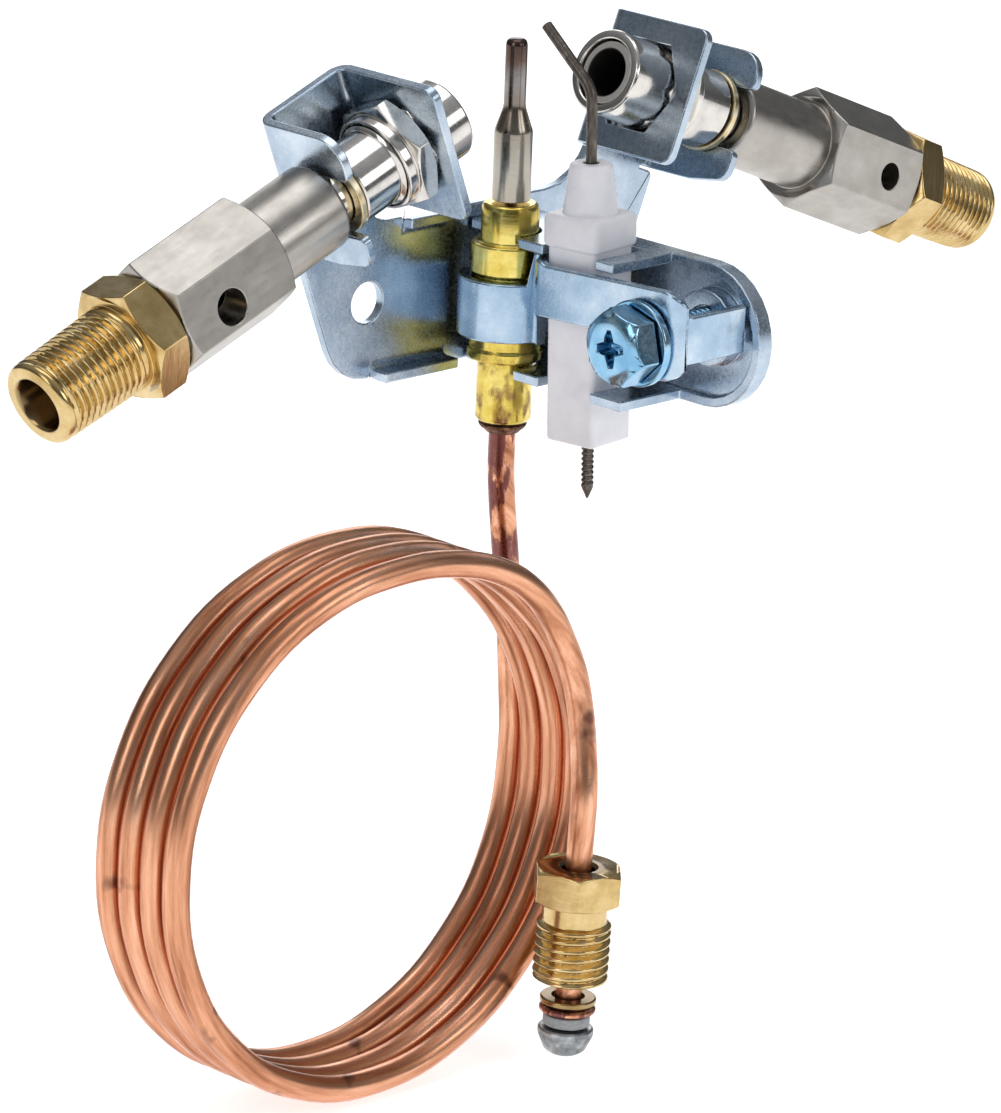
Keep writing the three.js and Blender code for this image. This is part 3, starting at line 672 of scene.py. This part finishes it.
ceramic = square_bar("insulator", 3.5, 0.75, (
    (0.35, -12.9), (0.1, -12.78), (0, -12.5), (0, 10.1),
))
shoulder = square_bar("shoulder", 3.95, 0.95, (
    (0.45, 9.7), (0.12, 9.86), (0, 10.2), (0, 12.9), (0.15, 13.3), (0.5, 13.5),
))
shape_with(ceramic, shoulder, "UNION")
nose = turned("nose", [
    (0, 12), (3.2, 12), (3.2, 13.4), (3.1, 13.9), (2.5, 18.6), (2.4, 18.95), (2.15, 19.2), (0, 19.2),
], 64)
shape_with(ceramic, nose, "UNION")
bore = turned("bore", [(0, -30), (CERAMIC_BORE, -30), (CERAMIC_BORE, 30), (0, 30)], 32)
shape_with(ceramic, bore, "DIFFERENCE")
tidy_faces(ceramic)
round_edges(ceramic, 0.14, 30)
ceramic.data.transform(Matrix.Rotation(CERAMIC_TURN, 4, "Z"))
ceramic.matrix_world = electrode_frame

ceramic_finish, tree, shader = new_finish("white_porcelain", 0.0)
glaze = mottle(tree, place_in(tree), 3.0, 5.0)
tree.links.new(shades(tree, glaze, (
    (0.25, (0.72, 0.70, 0.74)), (0.5, (0.79, 0.78, 0.82)), (0.75, (0.84, 0.83, 0.86)),
)), shader.inputs["Base Color"])
pores = mottle(tree, place_in(tree), 0.35, 4.0)
tree.links.new(spread(tree, pores, 0.30, 0.46), shader.inputs["Roughness"])
raise_grain(tree, shader, pores, 0.015)
shader.inputs["Subsurface Weight"].default_value = 0.12
shader.inputs["Subsurface Radius"].default_value = (0.6 * MM, 0.5 * MM, 0.45 * MM)
shader.inputs["Subsurface Scale"].default_value = 1.0
ceramic.data.materials.append(ceramic_finish)
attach(ceramic, "root")
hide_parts("electrode_ceramic")

WIRE_RADIUS = 0.62
wire = bent_wire("spark_wire", [Vector(place) * MM for place in (
    (0, 0, -6), (0, 0, 10), (0, 0, 21), (0, 0, 25.4), (-0.04, 0.15, 27.1), (-0.08, 0.75, 28.2),
    (-0.12, 2.1, 29.4), (-0.23, 7.08, 33.77),
)], WIRE_RADIUS, 8)
wire.matrix_world = electrode_frame
wire_finish, tree, shader = new_finish("oxidised_wire", 1.0)
scale = mottle(tree, place_in(tree, (1, 1, 0.3)), 0.6, 5.0)
tree.links.new(shades(tree, scale, (
    (0.3, (0.07, 0.06, 0.055)), (0.55, (0.14, 0.12, 0.105)), (0.8, (0.30, 0.26, 0.22)),
)), shader.inputs["Base Color"])
tree.links.new(spread(tree, scale, 0.5, 0.34), shader.inputs["Roughness"])
raise_grain(tree, shader, scale, 0.02)
wire.data.materials.append(wire_finish)
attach(wire, "root")
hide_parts("electrode_wire")

STUD_RING = 0.62
stud = turned("ringed_stud", [
    (0, -19.9), (0.12, -19.86), (0.35, -19.3), (0.62, -18.7),
    *threaded_profile(0.72, 0.72, -18.4, -13.2, STUD_RING), (0.7, -12.8), (0.7, -6.3), (0, -6.3),
], 32, thread(STUD_RING, 0.2, -18.5, -13.2))
stud.data.materials.append(wire_finish)
round_edges(stud, 0.03, 60)
stud.matrix_world = electrode_frame
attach(stud, "root")
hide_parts("electrode_stud")


# Burners: each is a turned, nickel-plated tube held by a hexagon nut in the tab and a snap ring
# at the fork. Its mixer body is drilled for air, and a brass inlet with a taper thread screws in.
SLOPE = math.radians(21.9)
PIPE_PITCH = 0.94
BURNER_BORE = 3.0
NUT_FLATS, MIXER_FLATS, INLET_FLATS = 12, 12.75, 12.7
MIXER_FROM, MIXER_TO = 46.8, 62.5
INLET_FROM, INLET_TO = 62.8, 67.3


def nickel(name, stops, rough_low, rough_high, stretch, relief):
    """Nickel plate on turned or drawn steel, marked along the stretch of the tool."""
    finish, tree, shader = new_finish(name, 1.0)
    place = place_in(tree)
    clouds = mottle(tree, place, 4.0, 5.0)
    tree.links.new(shades(tree, clouds, stops), shader.inputs["Base Color"])
    marks = mottle(tree, place_in(tree, stretch), 3.0, 4.0)
    tree.links.new(spread(tree, marks, rough_low, rough_high), shader.inputs["Roughness"])
    raise_grain(tree, shader, marks, relief)
    return finish


bright_nickel = nickel("bright_nickel", (
    (0.30, (0.52, 0.50, 0.47)), (0.50, (0.66, 0.63, 0.59)), (0.70, (0.76, 0.73, 0.68)),
), 0.08, 0.18, (1, 1, 16), 0.002)
satin_nickel = nickel("satin_nickel", (
    (0.30, (0.36, 0.335, 0.305)), (0.50, (0.415, 0.39, 0.355)), (0.70, (0.48, 0.45, 0.415)),
), 0.26, 0.38, (4, 4, 1), 0.002)
inlet_brass = turned_brass("inlet_brass", (
    (0.30, (0.46, 0.31, 0.12)), (0.50, (0.62, 0.45, 0.20)), (0.70, (0.72, 0.56, 0.30)),
), bore=BURNER_BORE)
jet_brass = turned_brass("jet_brass", (
    (0.30, (0.60, 0.42, 0.16)), (0.50, (0.76, 0.58, 0.28)), (0.70, (0.86, 0.70, 0.40)),
), ring_size=1.8)
spring_finish, tree, shader = new_finish("yellow_passivated_spring", 1.0)
film = mottle(tree, place_in(tree), 1.5, 4.0)
tree.links.new(shades(tree, film, (
    (0.3, (0.52, 0.40, 0.22)), (0.5, (0.72, 0.60, 0.36)), (0.7, (0.74, 0.70, 0.60)),
)), shader.inputs["Base Color"])
tree.links.new(spread(tree, film, 0.24, 0.38), shader.inputs["Roughness"])
liner_finish, tree, shader = new_finish("sooted_liner_with_painted_shade", 0.9)
soot = mottle(tree, place_in(tree), 1.2, 5.0)
face = shades(tree, soot, (
    (0.3, (0.56, 0.54, 0.50)), (0.5, (0.68, 0.65, 0.60)), (0.7, (0.76, 0.73, 0.68)),
))
# Painted shade: inside the bore's radius the liner is darkened nearly to black.
painted_bore_shade = spread(tree, from_its_axis(tree), 0.97, 0, 2.85 * MM, 2.92 * MM)
tree.links.new(blend_colour(tree, painted_bore_shade, face, (0.035, 0.03, 0.028)), shader.inputs["Base Color"])
tree.links.new(spread(tree, soot, 0.50, 0.34), shader.inputs["Roughness"])


def chamfered_hexagon(name, across_flats, low, high, turn):
    """A hexagon bar along local Z with both ends turned to a chamfer."""
    bar = prism(name, hexagon(across_flats, turn), low, high)
    corner = across_flats / math.sqrt(3)
    edge = (corner - across_flats / 2) * 0.62
    flat = across_flats / 2 - 0.05
    round_bar = turned("round_bar", [
        (0, low - 0.01), (flat, low - 0.01), (corner + 0.05, low + edge),
        (corner + 0.05, high - edge), (flat, high + 0.01), (0, high + 0.01),
    ], 120)
    return shape_with(bar, round_bar, "INTERSECT")


def add_burner(side_name, side, nozzle, tab, fork, air_hole, air_radius, mixer_turn):
    """One burner; lengths run along its axis from the crossing, and mixer_turn is in degrees."""
    along = Vector((side * math.cos(SLOPE), 0, -math.sin(SLOPE)))
    burner_frame = standing(CROSSING, along, (0, -1, 0))

    def fit(piece, node, finish, edge, sharp=30):
        round_edges(piece, edge, sharp)
        piece.matrix_world = burner_frame
        piece.data.materials.append(finish)
        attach(piece, "root")
        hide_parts(f"{side_name}_{node}")

    nut_from = tab + 1.5
    nut_to = nut_from + 2.5
    ring_from = fork - 2.4
    tube = turned(f"{side_name}_nozzle", [
        (3.9, nozzle + 0.12), (4.02, nozzle), (4.6, nozzle), (4.85, nozzle + 0.1),
        (5, nozzle + 0.35), (5, nut_to + 1.4), (4.9, nut_to + 1.55), (4.6, nut_to + 1.8),
        (4.6, ring_from - 0.5), (4.45, ring_from - 0.3), (3.5, ring_from - 0.3),
        (3.5, fork + 0.2), (2.75, fork + 0.2), (2.75, nozzle + 8), (3.9, nozzle + 8),
    ], 128)
    fit(tube, "burner_tube", bright_nickel, 0.07)
    liner = turned(f"{side_name}_nozzle_liner", [
        (2.8, nozzle + 0.4), (3.6, nozzle + 0.4), (3.7, nozzle + 0.55), (3.7, nozzle + 7.6),
        (2.75, nozzle + 7.6), (2.75, nozzle + 0.5),
    ], 64)
    fit(liner, "flame_liner", liner_finish, 0.05)

    nut = chamfered_hexagon(f"{side_name}_hexagon_nut", NUT_FLATS, nut_from, nut_to, math.radians(22))
    collar = turned("collar", [
        (0, nut_to - 1), (5.6, nut_to - 1), (5.6, nut_to + 1.25), (5.45, nut_to + 1.4), (0, nut_to + 1.4),
    ], 96)
    shape_with(nut, collar, "UNION")
    hole = turned("hole", [(0, nut_from - 1), (5.2, nut_from - 1), (5.2, nut_to + 3), (0, nut_to + 3)], 96)
    shape_with(nut, hole, "DIFFERENCE")
    tidy_faces(nut)
    fit(nut, "lock_nut", bright_nickel, 0.1)

    ring = turned(f"{side_name}_spring_ring", [
        (3.7, ring_from), (4.7, ring_from), (4.8, ring_from + 0.1), (4.8, ring_from + 0.8),
        (4.7, ring_from + 0.9), (3.7, ring_from + 0.9),
    ], 72)
    opening = [(-6, -2.4), (-2, -2.4), (-2, 2.4), (-6, 2.4)]
    shape_with(ring, prism("opening", opening, ring_from - 1, ring_from + 2), "DIFFERENCE")
    tidy_faces(ring)
    fit(ring, "snap_ring", spring_finish, 0.06)

    body = chamfered_hexagon(
        f"{side_name}_mixer", MIXER_FLATS, MIXER_FROM, MIXER_TO, math.radians(mixer_turn),
    )
    barrel = turned("barrel", [
        (0, fork + 0.5), (4.7, fork + 0.5), (4.9, fork + 0.62), (5.15, fork + 1),
        (5.15, MIXER_FROM + 0.8), (0, MIXER_FROM + 0.8),
    ], 128)
    shape_with(body, barrel, "UNION")
    passage = turned("passage", [(0, 30), (BURNER_BORE, 30), (BURNER_BORE, 70), (0, 70)], 64)
    shape_with(body, passage, "DIFFERENCE")
    drill = turned("drill", [(0, -10), (air_radius, -10), (air_radius, 10), (0, 10)], 48)
    drill.data.transform(Matrix.Translation((0, 0, air_hole * MM)) @ Matrix.Rotation(math.pi / 2, 4, "Y"))
    shape_with(body, drill, "DIFFERENCE")
    tidy_faces(body)
    fit(body, "mixer_body", satin_nickel, 0.14)

    inlet = chamfered_hexagon(f"{side_name}_inlet", INLET_FLATS, INLET_FROM, INLET_TO, math.radians(8))
    pipe = turned("pipe", [
        (0, 66.8), (5.15, 66.8), (5.15, 68.0),
        *threaded_profile(5.15, 4.93, 68.2, 78.8, PIPE_PITCH),
        (4.88, 79.1), (4.75, 79.45), (4.5, 79.66), (4.25, 79.7), (0, 79.7),
    ], 96, thread(PIPE_PITCH, 0.62, 68.1, 78.95))
    shape_with(inlet, pipe, "UNION")
    gas_way = turned("gas_way", [
        (0, 60), (BURNER_BORE, 60), (BURNER_BORE, 79.3), (BURNER_BORE + 0.4, 79.8),
        (BURNER_BORE + 0.4, 82), (0, 82),
    ], 64)
    shape_with(inlet, gas_way, "DIFFERENCE")
    tidy_faces(inlet)
    fit(inlet, "inlet_fitting", inlet_brass, 0.1, 40)

    jet = turned(f"{side_name}_jet", [
        (0.4, 59.3), (1.3, 59.3), (1.4, 59.4), (2.6, 60.6), (2.7, 60.75), (2.7, 66.4),
        (2.6, 66.5), (1.2, 66.5), (1.2, 61.5), (0.4, 60.4),
    ], 48)
    fit(jet, "gas_jet", jet_brass, 0.05)


add_burner("left", -1, 16.34, 21.9, 35.7, 55.95, 2, 40)
add_burner("right", 1, 11.28, 17.4, 31.5, 57.2, 1.6, 27)


# Terminal: a brass union nut slides and turns on the lead, above a loose washer. The cone, its
# insulating washer and a copper shoulder are crimped on the lead's end.
TERMINAL_FRAME = standing(from_axis(*TERMINAL_TOP), TERMINAL_UP, (1, 0, 0))
UNION_FLATS = 9.5
NUT_BORE = 1.9
NUT_PITCH = 1.08
union = chamfered_hexagon("union_nut_on_lead", UNION_FLATS, -4.1, 0, math.radians(-12))
stem = turned("stem", [
    (0, -13.65), (3.6, -13.65), (3.85, -13.55),
    *threaded_profile(4.35, 4.35, -13.3, -6.85, NUT_PITCH),
    (4.2, -6.7), (3.7, -6.5), (3.7, -3.6), (0, -3.6),
], 96, thread(NUT_PITCH, 0.72, -13.4, -6.7))
shape_with(union, stem, "UNION")
lead_hole = turned("lead_hole", [
    (0, -16), (NUT_BORE, -16), (NUT_BORE, -0.35), (NUT_BORE + 0.45, 0.1), (NUT_BORE + 0.45, 2), (0, 2),
], 64)
shape_with(union, lead_hole, "DIFFERENCE")
tidy_faces(union)
round_edges(union, 0.1, 40)
loose = turned("washer_on_lead", [
    (1.9, -16.35), (3.1, -16.35), (3.25, -16.2), (3.25, -15.75), (3.1, -15.6), (1.9, -15.6),
], 72)
round_edges(loose, 0.06)
copper_shoulder = turned("copper_shoulder", [
    (0, -17.4), (3.1, -17.4), (3.25, -17.25), (3.25, -16.95), (2.9, -16.65), (0, -16.65),
], 72)
round_edges(copper_shoulder, 0.06)
insulator_washer = turned("insulating_washer", [
    (0, -19), (2.6, -19), (2.7, -18.9), (2.7, -17.8), (2.6, -17.7), (0, -17.7),
], 72)
round_edges(insulator_washer, 0.06)
cone = turned("crimped_cone", [
    (0, -22.6), (1.3, -22.6), (1.7, -22.45), (2.1, -22.2), (2.4, -21.95), (2.9, -20.9),
    (3.15, -20.3), (3.2, -20.0), (3.2, -19.5), (3.0, -19.3), (0, -19.3),
], 72)
round_edges(cone, 0.08, 24)

tin_finish, tree, shader = new_finish("tinned_contact", 1.0)
painted_shade_and_dull_patches = mottle(tree, place_in(tree), 1.6, 6.0)
tree.links.new(shades(tree, painted_shade_and_dull_patches, (
    (0.3, (0.13, 0.14, 0.15)), (0.5, (0.30, 0.32, 0.33)), (0.7, (0.58, 0.60, 0.62)),
)), shader.inputs["Base Color"])
tree.links.new(spread(tree, painted_shade_and_dull_patches, 0.5, 0.28), shader.inputs["Roughness"])
raise_grain(tree, shader, painted_shade_and_dull_patches, 0.05)
fibre_finish, tree, shader = new_finish("fibre_washer", 0.0)
fibre = mottle(tree, place_in(tree, (1, 1, 4)), 0.8, 5.0)
tree.links.new(shades(tree, fibre, (
    (0.3, (0.22, 0.24, 0.25)), (0.7, (0.42, 0.44, 0.45)),
)), shader.inputs["Base Color"])
tree.links.new(spread(tree, fibre, 0.5, 0.7), shader.inputs["Roughness"])

for piece, node, body, finish, slot_name in (
    (union, "union_nut", "nut", inlet_brass, "brass"),
    (loose, "loose_washer", "lead_washer", inlet_brass, "brass"),
    (copper_shoulder, "terminal_shoulder", "root", copper_finish, "copper"),
    (insulator_washer, "terminal_insulator", "root", fibre_finish, "ceramic"),
    (cone, "terminal_cone", "root", tin_finish, "tin"),
):
    piece.matrix_world = TERMINAL_FRAME
    piece.data.materials.append(finish)
    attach(piece, body)
    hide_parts(node)
